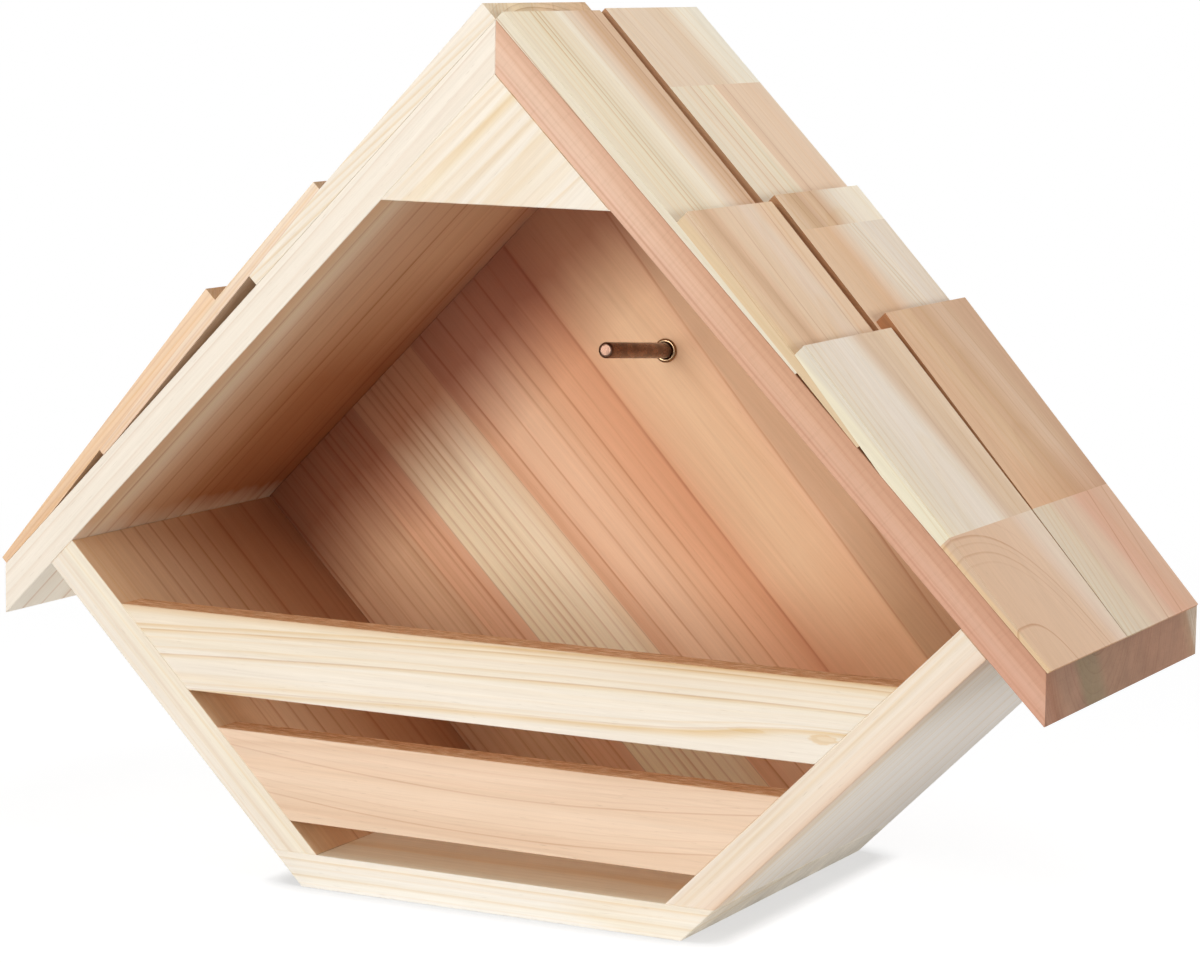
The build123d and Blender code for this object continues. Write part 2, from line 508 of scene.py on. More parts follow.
# %% Quiet rings
ONE_YEAR = [(0.0, 0.0), (0.45, 0.04), (0.8, 0.35), (0.94, 1.0), (1.0, 0.0)]
YEARS_ALIKE = 0.37
YEARS_UNEVEN = 1.6
NEXT_HEART = 9.7
NEXT_YEARS = 17.0
YEARS_STRAY = 0.5


def quiet_rings(w, heart, lean, ring, wander, seed):
    """The late wood of each year, from 0 to 1."""
    apart = w.node("CombineXYZ", [0.0, 0.0, w.times(w.plank, NEXT_HEART)]).outputs[0]
    inputs = {
        "Vector": w.vector("ADD", w.place, apart),
        "Location": (0, -heart[0], -heart[1]),
        "Rotation": (0, math.radians(lean[1]), math.radians(lean[0])),
    }
    tree_way = w.node("Mapping", inputs, vector_type="POINT").outputs[0]
    sideways = w.vector("MULTIPLY", tree_way, (0, 1, 1))
    distance = w.node("VectorMath", [sideways], operation="LENGTH").outputs["Value"]
    distance = w.times(w.slow, wander, distance)
    distance = w.times(w.quick, YEARS_STRAY, distance)
    years = w.math("DIVIDE", distance, ring)
    inputs = {"W": years, "Scale": YEARS_ALIKE, "Detail": 1.0}
    uneven = w.node("TexNoise", inputs, noise_dimensions="1D").outputs[0]
    years = w.times(uneven, YEARS_UNEVEN, years)
    which = w.math("ADD", w.math("FLOOR", years), seed * NEXT_YEARS)
    strength = w.node("TexWhiteNoise", {"W": which}, noise_dimensions="1D").outputs["Value"]
    late_wood = ramp(w, w.math("FRACT", years), greys(ONE_YEAR))
    return w.times(late_wood, w.times(strength, 0.85, 0.15))


print("quiet rings ready")

# %% [markdown]
# Wood has a fine grain too, and it does more for the look than the rings: long fibres and
# cords, a slow drift of tone, flecks, and the faint strokes of the planer. They only dim
# the colour, and a dim wood is a redder wood, so green and blue lose more than red.

# %% Fibres and streaks
STREAKS = (190, 4, 4)
FIBRES = (34, 0.8, 0.8)
CORDS = (130, 2.2, 2.2)
DRIFT = (90, 30, 30)
FLECKS = (7, 0.45, 0.45)
STROKES = (0.8, 9, 9)


def fine_tone(w, fibre, ticks):
    """What the fine grain leaves of the colour."""
    layers = [
        (fibre, 0.17, 0.915),
        (w.grain(CORDS), 0.12, 0.94),
        (w.grain(DRIFT, 1.0), 0.08, 0.96),
        (w.span(w.grain(FLECKS, 1.0), 0.70, 0.80), -0.13, 1.0),
    ]
    if ticks:
        layers.append((w.span(w.grain(STROKES, 2.0, 0.6), 0.5, 0.75), -ticks, 1.0))
    tone = 1.0
    for layer, share, rest in layers:
        tone = w.times(tone, w.times(layer, share, rest))
    redder = {"Red": tone, "Green": w.math("POWER", tone, 1.15), "Blue": w.math("POWER", tone, 1.35)}
    return w.node("CombineColor", redder).outputs[0]


print("fine grain ready")

# %% [markdown]
# Where the saw went through, wood looks different. Glued joints show as a thin dark seam.
# End grain drinks in the light and turns darker, with its rings and pores wide open. The
# edges that came from a coarse saw are furry and brown.

# %% Seams, ends and sawn tops
GLUE = (120, 72, 46)
SEAM_EDGE = (0.10, 0.30)
SEAM_STRENGTH = 0.25
END_FACES = (0.55, 0.65)
DARK_RING = (0.66, 0.54, 0.45)
PORES = (1.0, 0.5, 0.5)
CLOUD = (30, 14, 9)
FUZZ = (6.5, 0.8, 0.8)
SAWN_SHADES = [(0.30, (176, 114, 70)), (0.5, (224, 164, 114)), (0.66, (250, 218, 178))]


def glue_seams(w, colour):
    """A thin dark line of glue along each joint."""
    for joint in w.joints:
        off = w.math("ABSOLUTE", w.math("SUBTRACT", w.across, float(joint)))
        colour = mix(w, w.span(off, *SEAM_EDGE, SEAM_STRENGTH, 0.0), colour, srgb(*GLUE))
    return colour


def end_grain(w, colour, late_wood, end, end_line):
    """The board's ends, in a tint of their own with rings and pores."""
    pores = w.times(w.grain(PORES, 3.0, 0.7), 0.28, 0.86)
    cloud = w.times(w.grain(CLOUD, 2.0, 0.6), 0.5, 0.75)
    dark_ring = [part * share for part, share in zip(end, DARK_RING)]
    tint = mix(w, w.times(late_wood, end_line), (*end, 1.0), (*dark_ring, 1.0))
    tint = mix(w, 1.0, tint, w.times(pores, cloud), "MULTIPLY")
    return mix(w, w.faces(ALONG, *END_FACES), colour, tint, "MULTIPLY")


def furry_top(w, colour, sawn):
    """The faces that look up, rough and brown from a coarse saw."""
    up = w.node("SeparateXYZ", [w.node("TexCoord").outputs["Normal"]]).outputs["Z"]
    is_top = w.times(w.span(up, 0.85, 0.95), sawn)
    return mix(w, is_top, colour, ramp(w, w.grain(FUZZ, 4.0, 0.7), painted(SAWN_SHADES)))


print("seams, ends and sawn tops ready")

# %% [markdown]
# The parts come together in one finish. Broad bands of colour go on first, then the rings
# and lines darken them, the fibres break up the evenness, and the cuts come last. The
# skin is matt, and raised by a hair's breadth where fibres and late wood stand up.

# %% The finish
YELLOW_LATE = (0.94, 0.83, 0.62)
BROWN_LATE = (0.70, 0.52, 0.38)
STREAK_TINT = (0.84, 0.72, 0.60)
LINE_TINT = (0.62, 0.36, 0.22)
RING_TINT = (0.88, 0.72, 0.47)
END_TINT = (0.80, 0.68, 0.56)
FADES = (45, 9, 9)
RAGS = (3.5, 1.0, 1.0)


def softwood(name, lie, bands, lines=(), rings=(), tilt=0.0, bow=0.0, middle=0.0, slant=0.0, lift=0.0,
             loops=None, heart=(20, -70), lean=(0.5, 0.4), ring=3.4, line=0.35, late=YELLOW_LATE,
             end=END_TINT, end_line=0.6, seed=0.0, sawn=0.0, wander=1.5, joints=(), streaky=0.5,
             edge=None, gap_shade=None, ticks=0.0, later=(), inside=(), swirl=None, fan=None, spots=()):
    """A softwood cut from one board.

    bands: (mm across, colour).  slant and lift: how the grain leans through the board, and
    the height where it doesn't.  lines and rings: (mm across, darkness, width) of thin brown
    lines and soft yellow rings, with the tilt and bow about the middle, or in loops.
    heart: where the heart line passes, across and through; lean: its two angles in degrees.
    ring: mm a year; line: how strong the quiet rings are; late: their tint.  wander: how far
    the grain strays, in mm.  end and end_line: the tint of the ends and how strong their
    rings are.  streaky: strength of the long streaks.  sawn: how furry a top edge is.
    joints: glued joints, in mm across, past which another tree begins.  edge: a tint of the
    narrow faces.  gap_shade: (from, to, tint) across, of narrow faces in the gaps between
    shingles, tinted as painted shade.  ticks: strength of the planer's marks.  later: (start,
    end, bands) for each way the colour changes along the board, on the back panel painted
    shade; inside: the same on its inner face, painted shade and light.
    swirl: (along, across, length, height, push) of grain that runs round a hidden knot.
    fan: (across, rate) of a line past which the grain spreads like a fan.
    spots: (along, across, length, height, tint) of small ragged marks such as torn grain.
    """
    w = Board(name, lie, joints, seed)
    bent = bend_grain(w, slant, lift, middle, wander, swirl, fan)
    colour = broad_colours(w, bent, bands, later, inside)
    colour = narrow_faces(w, colour, edge, gap_shade)

    streak = w.span(w.grain(STREAKS, 3.0, 0.6), 0.5, 0.72)
    colour = stain(w, w.times(streak, 0.35 * streaky), colour, STREAK_TINT)
    late_wood = quiet_rings(w, heart, lean, ring, wander * 2, seed)
    colour = stain(w, w.times(late_wood, line), colour, late)
    run = run_across(w, bent, tilt, bow, middle, loops)
    for marks, tint in ((rings, RING_TINT), (lines, LINE_TINT)):
        if marks:
            fading = w.times(w.grain(FADES), 1.1, 0.4)
            marked = w.times(marked_lines(w, run, marks), fading)
            colour = stain(w, marked, colour, tint)
    for spot in spots:
        ragged = w.times(w.grain(RAGS), 1.2, from_spot(w, spot))
        colour = stain(w, w.span(ragged, 1.7, 1.3), colour, spot[4])

    fibre = w.grain(FIBRES, 3.0, 0.65)
    colour = mix(w, 1.0, colour, fine_tone(w, fibre, ticks), "MULTIPLY")
    colour = glue_seams(w, colour)
    colour = end_grain(w, colour, late_wood, end, end_line)
    if sawn:
        colour = furry_top(w, colour, sawn)

    height = w.times(late_wood, 0.5, w.times(fibre, 0.9))
    bump = w.node("Bump", {"Strength": 0.25, "Distance": 0.0004, "Height": height}).outputs[0]
    rough = w.times(fibre, 0.14, 0.54)
    skin = {"Base Color": colour, "Roughness": rough, "Normal": bump, "Specular IOR Level": 0.25}
    return w.surface(w.node("BsdfPrincipled", skin).outputs[0])


def dress(name, lie, bands, **settings):
    """Give one of the solids a softwood of its own."""
    material = softwood(f"{name}_wood", lie, bands, **settings)
    nodes[name].data.materials.clear()
    nodes[name].data.materials.append(material)


print("softwood ready")

# %% [markdown]
# ## The case
#
# The case is cream-coloured sapwood with soft yellow rings. Only the right roof board
# shows salmon heartwood on its front edge. One wood for all boards would be quicker, but
# side by side their edges would melt into each other. So each board gets the lie of its
# own cut, its own bands of colour and its own few lines.

# %% Roof boards
CREAM = (242, 231, 215)
IVORY = (240, 226, 206)
left_slope = ((0, -88, 357), (0, 135, 0))
right_slope = ((0, -88, 357), (0, 45, 0))

dress(
    "left_roof_board", left_slope,
    [(-4, CREAM), (30, CREAM), (90, IVORY), (176, CREAM)],
    # The inner face is painted darker and redder towards the back and further down the slope, as painted
    # shade; the underside of the left eave, the last stretch, is painted paler as painted light.
    inside=[
        (-2, -1, [(-4, (240, 210, 172)), (3, (242, 214, 178)), (7, (248, 229, 198)),
                  (11, (254, 242, 215)), (16, (252, 237, 212)), (24, (241, 217, 188)),
                  (38, (234, 205, 174)), (58, (231, 200, 168)), (95, (230, 198, 165)),
                  (120, (230, 198, 166)), (140, (216, 174, 143)), (155, (210, 170, 146))]),
        (130, 210, [(-4, (238, 206, 168)), (3, (240, 210, 174)), (7, (247, 227, 196)),
                    (11, (253, 240, 213)), (16, (250, 234, 209)), (24, (239, 214, 185)),
                    (38, (230, 198, 165)), (58, (220, 182, 148)), (72, (205, 159, 122)),
                    (92, (191, 138, 100)), (150, (181, 124, 86))]),
        (286, 302, [(-4, (252, 245, 232)), (176, (252, 245, 232))]),
    ],
    lines=[(8, 0.5, 1.4), (22, 0.35, 1.2), (38, 0.55, 1.6), (52, 0.35, 1.4), (67, 0.5, 1.4),
           (79, 0.7, 1.6), (88, 0.35, 1.2), (108, 0.3, 2), (126, 0.3, 1.4), (142, 0.6, 1.8)],
    slant=-0.25, ring=7.5, line=0.35, late=BROWN_LATE, heart=(60, 140), seed=1, streaky=0.3)
dress(
    "right_roof_board", right_slope,
    [(-16, (226, 182, 155)), (-13, (229, 190, 165)), (-9, (232, 196, 171)), (-6, (228, 189, 162)),
     (-2, (220, 177, 149)), (0, (210, 164, 136)), (176, (214, 172, 146))],
    later=[
        (60, 165, [(-16, (214, 163, 133)), (-13, (217, 170, 141)), (-9, (220, 176, 147)),
                   (-6, (216, 169, 138)), (-2, (208, 159, 127)), (0, (202, 153, 122)),
                   (176, (214, 172, 146))]),
        (190, 330, [(-16, (210, 156, 130)), (-13, (216, 166, 140)), (-9, (219, 172, 147)),
                    (-6, (214, 165, 138)), (-2, (206, 154, 126)), (0, (196, 146, 118)),
                    (12, (206, 166, 140)), (27, (202, 162, 138)), (34, (182, 162, 131)),
                    (50, (186, 164, 135)), (58, (200, 162, 136)), (110, (206, 162, 136)),
                    (150, (212, 168, 142)), (160, (226, 190, 160)), (165, (254, 244, 226)),
                    (176, (254, 242, 222))]),
    ],
    lines=[(-12.6, 0.35, 0.6), (-8.2, 0.12, 0.5), (-5.4, 0.3, 0.6), (-2.1, 0.2, 0.5),
           (164.5, 0.5, 0.8), (167, 0.5, 0.8), (169.5, 0.5, 0.8), (171.5, 0.5, 0.8)],
    slant=1.0, ring=2.8, line=0.22, late=BROWN_LATE, heart=(58, 24), lean=(0.2, 0.1),
    end=(0.60, 0.55, 0.51), end_line=0.4, seed=2, wander=1.4, ticks=0.05)
print("roof boards dressed")

# %% Side boards
dress(
    "left_side_board", ((-87, -88, 0), (0, 45, 0)),
    [(-24, (240, 227, 206)), (-16, (243, 232, 212)), (-8, CREAM), (0, CREAM), (60, IVORY), (176, CREAM)],
    # The inner face is painted darker and redder towards the back, as painted shade.
    inside=[
        (-400, -399, [(-24, (236, 198, 157)), (0, (238, 203, 165)), (30, (236, 204, 171)),
                      (60, (220, 180, 145)), (80, (204, 157, 122)), (110, (192, 143, 109)),
                      (150, (187, 137, 104))]),
    ],
    lines=[(9, 0.5, 1.2), (19, 0.6, 1.5), (30, 0.6, 1.3), (41, 0.6, 1.5), (53, 0.6, 1.4),
           (63, 0.5, 1.4), (79, 0.6, 1.6), (104, 0.5, 2), (121, 0.3, 1.5), (138, 0.4, 2)],
    rings=[(-20, 0.35, 1.4), (-11, 0.25, 1.6), (-5, 0.2, 1.2)],
    slant=-1.6, tilt=-0.012, middle=100, ring=5.2, line=0.3, late=BROWN_LATE, heart=(80, 160), seed=3)
RIGHT_EDGE = [
    (0, (228, 200, 177)), (2.2, (237, 216, 195)), (5, (240, 223, 204)), (8, (242, 228, 211)),
    (11, (239, 224, 204)), (15, (242, 229, 213)),
]
dress(
    "right_side_board", ((87, -88, 0), (0, -45, 0)),
    RIGHT_EDGE + [(20, (247, 240, 230)), (60, (248, 242, 234)), (176, (247, 240, 232))],
    later=[(120, 185, RIGHT_EDGE + [(20, (254, 245, 230)), (176, (254, 245, 230))])],
    lines=[(4.0, 0.12, 0.6)],
    rings=[(10.8, 0.4, 1.6), (7.0, 0.2, 1.0), (13.4, 0.3, 1.2), (24, 0.3, 2), (37, 0.3, 2),
           (52, 0.3, 2.4), (69, 0.3, 2.4), (88, 0.3, 3), (110, 0.3, 3), (134, 0.3, 3), (156, 0.3, 2)],
    slant=1.0, tilt=0.01, middle=90, ring=4.0, line=0.5, heart=(90, 130), seed=4)
print("side boards dressed")

# %% Gable, slats and floor
level = ((0, -88, 0), (90, 0, 0))
along_left = ((0, -88, 335.8), (90, -45, 0))
PEACH = (235, 206, 178)
dress(
    "front_gable", along_left,
    [(-74, CREAM), (-42, CREAM), (-33, IVORY), (-30, CREAM), (-26, CREAM), (-23.5, IVORY),
     (-21, CREAM), (-18, IVORY), (-15, CREAM), (-11, (240, 225, 200)), (-8, CREAM), (-3, IVORY),
     (0, CREAM)],
    rings=[(-66, 0.15, 0.8), (-54, 0.45, 1.2), (-46, 0.15, 1.2), (-39, 0.3, 2.4), (-31, 0.35, 2.2),
           (-24, 0.45, 2.4), (-18.2, 0.3, 2), (-11.4, 0.5, 3), (-6.2, 0.25, 1.2), (-3.2, 0.4, 1.2)],
    tilt=-0.07, ring=2.3, line=0.3, heart=(-40, 200), seed=5, wander=1.6)
dress(
    "perch_slat", level,
    [(76, CREAM), (79.5, CREAM), (82, (240, 225, 202)), (85, CREAM), (93, CREAM),
     (96, (240, 227, 206)), (103, IVORY), (107, (238, 222, 198)), (109, (230, 206, 174)),
     (110.2, (224, 194, 158))],
    lines=[(96.8, 0.5, 0.45), (106.8, 0.3, 0.4), (82.6, 0.3, 0.4)],
    rings=[(81.6, 0.8, 1.6), (84.6, 0.35, 0.9), (88.5, 0.1, 1), (96.4, 0.65, 1.2), (99.6, 0.4, 0.9),
           (103.6, 0.25, 0.8), (106.6, 0.65, 1.4), (108.8, 0.7, 1.2)],
    tilt=0.022, bow=-0.00009, slant=0.2, ring=3.8, line=0.3, heart=(40, -160), seed=6, sawn=1.0,
    wander=1.2, swirl=(150, 88, 55, 6.5, -7.0),
    spots=[(114, 87.0, 8.0, 0.9, (0.96, 0.90, 0.78)), (145.6, 86.8, 6.2, 2.1, (0.93, 0.81, 0.64)),
           (147.0, 87.1, 3.8, 0.9, (1.05, 1.09, 1.18))])
dress(
    "middle_slat", level,
    [(26, PEACH), (33, (232, 201, 172)), (37, PEACH), (45, (237, 209, 182)), (49, (234, 203, 174)),
     (55, (237, 208, 181)), (63, (234, 203, 174))],
    lines=[(32.0, 0.42, 0.5), (34.4, 0.14, 0.5), (37.3, 0.16, 0.4), (40.5, 0.10, 0.6),
           (48.2, 0.42, 0.5), (51, 0.14, 0.5), (54, 0.10, 0.5), (57.5, 0.14, 0.6)],
    bow=0.00048, middle=8, slant=0.3, ring=4.0, line=0.3, late=BROWN_LATE, heart=(45, -70), seed=7,
    sawn=1.0, wander=1.2)
dress(
    "bottom_board", level,
    [(0, (245, 239, 229)), (3.5, (244, 237, 224)), (5, (240, 230, 213)), (7, (245, 238, 226)),
     (10.5, (243, 234, 220)), (12, (241, 231, 215)), (14, (244, 235, 221))],
    rings=[(1.8, 0.2, 0.6), (4.9, 0.4, 0.8), (8.4, 0.2, 0.7), (11.4, 0.5, 0.8)],
    # The edge tint brightens and warms the board's top and bottom faces: painted light for the warm
    # light bouncing inside the hollow.
    slant=0.1, ring=3.1, line=0.35, heart=(7, -120), seed=8, wander=0.8, edge=(1.08, 1.05, 0.94),
    end=(0.96, 0.95, 0.93), end_line=0.15)
print("gable, slats and floor dressed")

# %% [markdown]
# ## The back panel
#
# The panel is glued up from strips that run parallel to the right slope, each from a
# different tree: one tan with brown lines, one pale with many close rings, one wide and
# salmon-coloured. On the wide one the grain spreads a little like a fan towards the right.
# Where the strips end under the left roof board, and in the lower right corner, their
# colours are painted darker and redder as painted shade. The first direction follows the
# right slope, and the second counts up from the lower left corner, so the strips are simply
# places across the panel.

# %% Strips of the back panel
along_right = ((0, 68, 335.8), (90, 45, 0))
PANEL = [
    (-285, (216, 168, 130)), (-262, (224, 180, 142)), (-241, (228, 184, 146)), (-238, (232, 180, 142)),
    (-222.2, (234, 184, 148)), (-222, (250, 230, 194)), (-200, (252, 232, 198)),
    (-188, (252, 232, 200)), (-180.2, (246, 216, 180)), (-180, (234, 180, 142)),
    (-168, (248, 204, 168)), (-157, (250, 206, 170)), (-150, (244, 196, 158)), (-135, (241, 184, 144)),
    (-122, (232, 170, 130)), (-119.5, (238, 186, 146)), (-112, (244, 200, 160)),
    (-98, (248, 210, 170)), (-84, (246, 204, 164)), (-78.5, (240, 195, 157)), (-76.5, (221, 180, 144)),
    (-62, (214, 173, 137)), (-40, (216, 168, 133)), (0, (214, 160, 126)),
]
# Painted shade: the strips' colours where they end in the shadow of the left roof board.
PANEL_LEFT_PAINTED_SHADE = [
    (-285, (164, 106, 74)), (-240, (170, 111, 80)), (-222.2, (172, 113, 83)), (-222, (192, 138, 104)),
    (-180.2, (192, 136, 102)), (-180, (176, 116, 88)), (-155, (180, 122, 95)), (-121, (168, 106, 79)),
    (-119, (176, 117, 88)), (-98, (188, 134, 102)), (-78, (178, 124, 94)), (0, (164, 106, 80)),
]
# Painted shade: the strips' colours darker in the lower right corner.
PANEL_RIGHT_PAINTED_SHADE = PANEL[:14] + [
    (-122, (228, 162, 122)), (-119.5, (228, 168, 128)), (-98, (233, 183, 142)), (-80, (227, 178, 137)),
    (-76.5, (194, 152, 114)), (-60, (186, 142, 106)), (0, (180, 130, 98)),
]
dress(
    "back_panel", along_right, PANEL,
    # The strips run into painted shade towards their left ends and in the lower right corner.
    later=[(64, 24, PANEL_LEFT_PAINTED_SHADE), (190, 242, PANEL_RIGHT_PAINTED_SHADE)],
    lines=[(-282, 0.6, 1.1), (-277.5, 0.3, 0.9), (-272, 0.35, 1.0), (-267.6, 0.35, 1.0),
           (-260.5, 0.5, 1.1), (-255.7, 0.35, 0.9), (-250, 0.4, 1.0), (-247, 0.25, 0.8),
           (-242.6, 0.6, 1.0), (-239, 0.55, 0.9), (-234, 0.2, 0.8), (-230.6, 0.4, 0.9),
           (-227.4, 0.65, 1.0), (-218.4, 0.5, 0.9), (-213, 0.5, 0.9), (-209, 0.5, 0.9),
           (-205.5, 0.5, 0.9), (-202, 0.65, 1.0), (-198, 0.45, 0.9), (-192.5, 0.5, 0.8),
           (-188, 0.3, 0.8), (-184, 0.3, 0.8), (-173, 0.7, 0.8), (-162.6, 0.55, 0.7),
           (-152, 0.45, 0.8), (-147, 0.5, 0.7), (-139, 0.6, 0.8), (-131, 0.25, 0.7),
           (-120.7, 0.7, 1.0), (-105, 0.1, 0.8), (-97, 0.1, 1.0), (-77.7, 0.55, 0.8), (-61, 0.5, 1.0),
           (-42, 0.4, 1.0), (-27, 0.4, 1.0)],
    middle=165, fan=(-170, 0.00079), ring=3.7, line=0.3, late=BROWN_LATE, heart=(-110, 300),
    lean=(0.3, 0.3), seed=9, wander=2.0, joints=(-222, -180))
print("back panel dressed")

# %% [markdown]
# ## The shingles
#
# The shingles were split and sawn from short ends of many boards, so no two match: their
# colours change from cream to toast across a hand's width. They all share the lie of
# their slope. On the right slope the bands stand at a steep slant in the wood, as in
# quarter-sawn stock, so they run a little askew on the tapering tops and cross the
# narrow front faces quickly.

# %% Right slope
MILK = (252, 239, 217)
STRAW = (245, 229, 202)
OAT = (240, 216, 190)
LINEN = (240, 225, 208)
HONEY = (229, 191, 154)
BISCUIT = (233, 203, 172)
TAN = (226, 192, 160)
TOAST = (219, 181, 147)
NUT = (206, 168, 130)
ROSE = (224, 177, 149)
quarter_sawn = {
    "slant": 2.8, "lift": 5.0, "edge": (0.84, 0.87, 0.90), "streaky": 0.25, "line": 0.3,
    # The narrow faces in the gaps between the shingle columns are tinted darker and browner as painted
    # shade.
    "gap_shade": (60.0, 120.0, (0.86, 0.60, 0.42)),
}


def right_shingle(place, bands, **settings):
    """Dress a shingle of the right slope, or one length of it."""
    dress(f"right_shingle_{place}", right_slope, bands, **{**quarter_sawn, **settings})


right_shingle(
    "front_1",
    [(0, STRAW), (14, (246, 231, 203)), (26, (238, 223, 196)), (32, STRAW), (44, MILK),
     (50, (241, 220, 196)), (56, (238, 211, 184)), (64, (224, 188, 157)), (70, TOAST), (74, TAN),
     (90, TAN)],
    lines=[(-13.4, 0.9, 0.8), (19, 0.5, 0.5), (23.5, 0.45, 0.5), (27, 0.3, 0.5), (71.5, 0.6, 0.9)],
    rings=[(4, 0.4, 1), (8.5, 0.4, 1), (13, 0.3, 1), (19, 0.7, 1.4), (23.5, 0.6, 1.2),
           (26.5, 0.6, 1.2), (31, 0.3, 1), (35, 0.25, 1), (47, 0.4, 1.2), (61, 0.4, 2), (66, 0.4, 2)],
    tilt=-0.035, middle=50, heart=(30, -120), seed=21)
right_shingle(
    "back_1_head",
    [(90, OAT), (122, OAT), (136, (237, 210, 180)), (144, (244, 224, 199)), (152, MILK),
     (176, (248, 239, 220))],
    lines=[(101.5, 0.3, 0.7), (119, 0.2, 0.6), (138, 0.3, 0.7)],
    rings=[(96, 0.3, 1), (109, 0.3, 1), (127, 0.3, 1.2), (146, 0.4, 1), (156, 0.4, 1), (164, 0.3, 1)],
    tilt=0.15, middle=22, heart=(150, -90), seed=22)
right_shingle(
    "back_1",
    [(80, (241, 224, 198)), (92, (244, 228, 204)), (98, (243, 224, 198)), (104, (240, 219, 193)),
     (114, (246, 231, 205)), (118, (239, 223, 196)), (125, (249, 229, 202)), (126.2, (240, 208, 178)),
     (134, (236, 204, 174)), (138, (242, 213, 184)), (162, (240, 209, 180)), (176, (238, 214, 188))],
    lines=[(103.5, 0.3, 0.7), (110, 0.3, 0.6), (126.2, 0.35, 0.6), (134.5, 0.5, 0.7), (142, 0.2, 0.8)],
    rings=[(90, 0.4, 1), (97, 0.5, 1.2), (103.5, 0.6, 1.2), (110, 0.6, 1.2), (117.5, 0.7, 1.2),
           (122, 0.4, 0.8), (150, 0.3, 1), (158, 0.3, 1)],
    tilt=-0.03, middle=70, heart=(120, -80), seed=23)
right_shingle(
    "front_2",
    [(0, (238, 206, 164)), (5, (235, 202, 163)), (8, (231, 198, 164)), (14, (231, 198, 164)),
     (19, (226, 189, 155)), (25, (213, 174, 139)), (31, (229, 193, 160)), (37, BISCUIT), (47, BISCUIT),
     (59, (237, 211, 187)), (67, (237, 212, 187)), (73, (238, 205, 173)), (90, (236, 204, 170))],
    lines=[(5, 0.55, 0.7), (42.6, 0.45, 0.7), (72.4, 0.5, 0.7), (22, 0.15, 1), (29, 0.15, 1)],
    rings=[(12, 0.3, 1), (52, 0.2, 1), (60, 0.2, 1), (77, 0.4, 1.4)],
    tilt=-0.15, middle=140, heart=(60, -60), seed=24)
right_shingle(
    "back_2_head",
    [(94, (230, 201, 169)), (102, (226, 194, 162)), (108, (216, 180, 143)), (114, NUT),
     (118, (216, 179, 146)), (125, (225, 191, 156)), (130, (216, 178, 142)), (136, (224, 192, 161)),
     (142, (237, 215, 190)), (150, (244, 229, 209)), (176, MILK)],
    lines=[(110.6, 0.4, 0.9), (116, 0.3, 0.8), (131, 0.45, 1.1), (143, 0.2, 0.7)],
    rings=[(100, 0.4, 1.2), (122, 0.4, 1), (148, 0.4, 1), (156, 0.3, 1)],
    middle=115, heart=(125, -110), seed=25)
right_shingle(
    "back_2",
    [(84, (231, 197, 164)), (108, (230, 194, 159)), (119, (229, 189, 151)), (124, (234, 200, 169)),
     (130, (236, 209, 182)), (138, (237, 219, 198)), (142, (242, 227, 207)), (146, (236, 221, 201)),
     (150, (245, 230, 211)), (158, LINEN), (176, (238, 221, 200))],
    lines=[(144, 0.2, 0.6), (147.5, 0.2, 0.6)],
    rings=[(102, 0.15, 1.5), (110, 0.15, 1.5), (140, 0.4, 1), (144, 0.5, 1), (147.6, 0.5, 1),
           (152, 0.3, 1), (159, 0.3, 1), (166, 0.3, 1)],
    tilt=0.06, middle=150, heart=(60, -90), line=0.25, seed=26)
right_shingle(
    "front_3",
    [(0, (250, 236, 205)), (2, (246, 231, 203)), (5, (240, 225, 201)), (20, (236, 221, 201)),
     (40, LINEN), (52, (239, 225, 208)), (57, (236, 218, 197)), (62, (228, 202, 177)),
     (67, (220, 190, 161)), (72, (228, 200, 171)), (80, (224, 194, 163)), (90, (233, 206, 177))],
    lines=[(66.5, 0.2, 1.2), (71, 0.12, 0.8)],
    rings=[(3, 0.4, 1), (8.5, 0.4, 1), (14, 0.45, 1), (19.5, 0.35, 1), (26, 0.25, 1), (34, 0.2, 1),
           (44, 0.2, 1), (78, 0.3, 1), (84, 0.4, 1)],
    tilt=-0.17, middle=225, heart=(40, -60), line=0.25, seed=27)
right_shingle(
    "front_3_toe",
    [(-14, (242, 206, 160)), (-10, (238, 200, 156)), (-8, (229, 193, 159)), (-4, (225, 188, 156)),
     (20, (227, 191, 160)), (50, (230, 195, 165)), (60, (231, 198, 169)), (67, (232, 204, 181)),
     (76, (234, 212, 190)), (90, (234, 212, 190))],
    lines=[(20, 0.6, 0.8), (46, 0.14, 0.7), (50, 0.35, 0.7), (54, 0.2, 0.6), (57, 0.5, 0.8),
           (66, 0.14, 0.8)],
    loops=(0.0, 1.12), middle=336, heart=(30, -40), line=0.2, seed=28)
right_shingle(
    "back_3",
    [(90, (224, 185, 150)), (104, (224, 183, 147)), (118, (226, 189, 154)), (126, (223, 186, 148)),
     (134, (216, 176, 141)), (142, (212, 173, 137)), (150, (220, 184, 152)), (158, (222, 189, 160)),
     (166, (216, 180, 147)), (171, (211, 172, 140)), (176, (211, 172, 140))],
    later=[
        (246, 275, [(90, (224, 180, 142)), (104, (222, 176, 138)), (126, (214, 168, 130)),
                    (142, (204, 158, 122)), (158, (208, 164, 132)), (176, (200, 156, 126))]),
    ],
    lines=[(105, 0.2, 0.8), (131, 0.15, 2), (151, 0.3, 0.7), (163, 0.3, 0.9)],
    rings=[(112, 0.3, 1.5), (121, 0.3, 1.5), (139, 0.3, 2), (157, 0.3, 1)],
    tilt=-0.03, middle=220, heart=(130, -70), late=BROWN_LATE, line=0.2, seed=29)
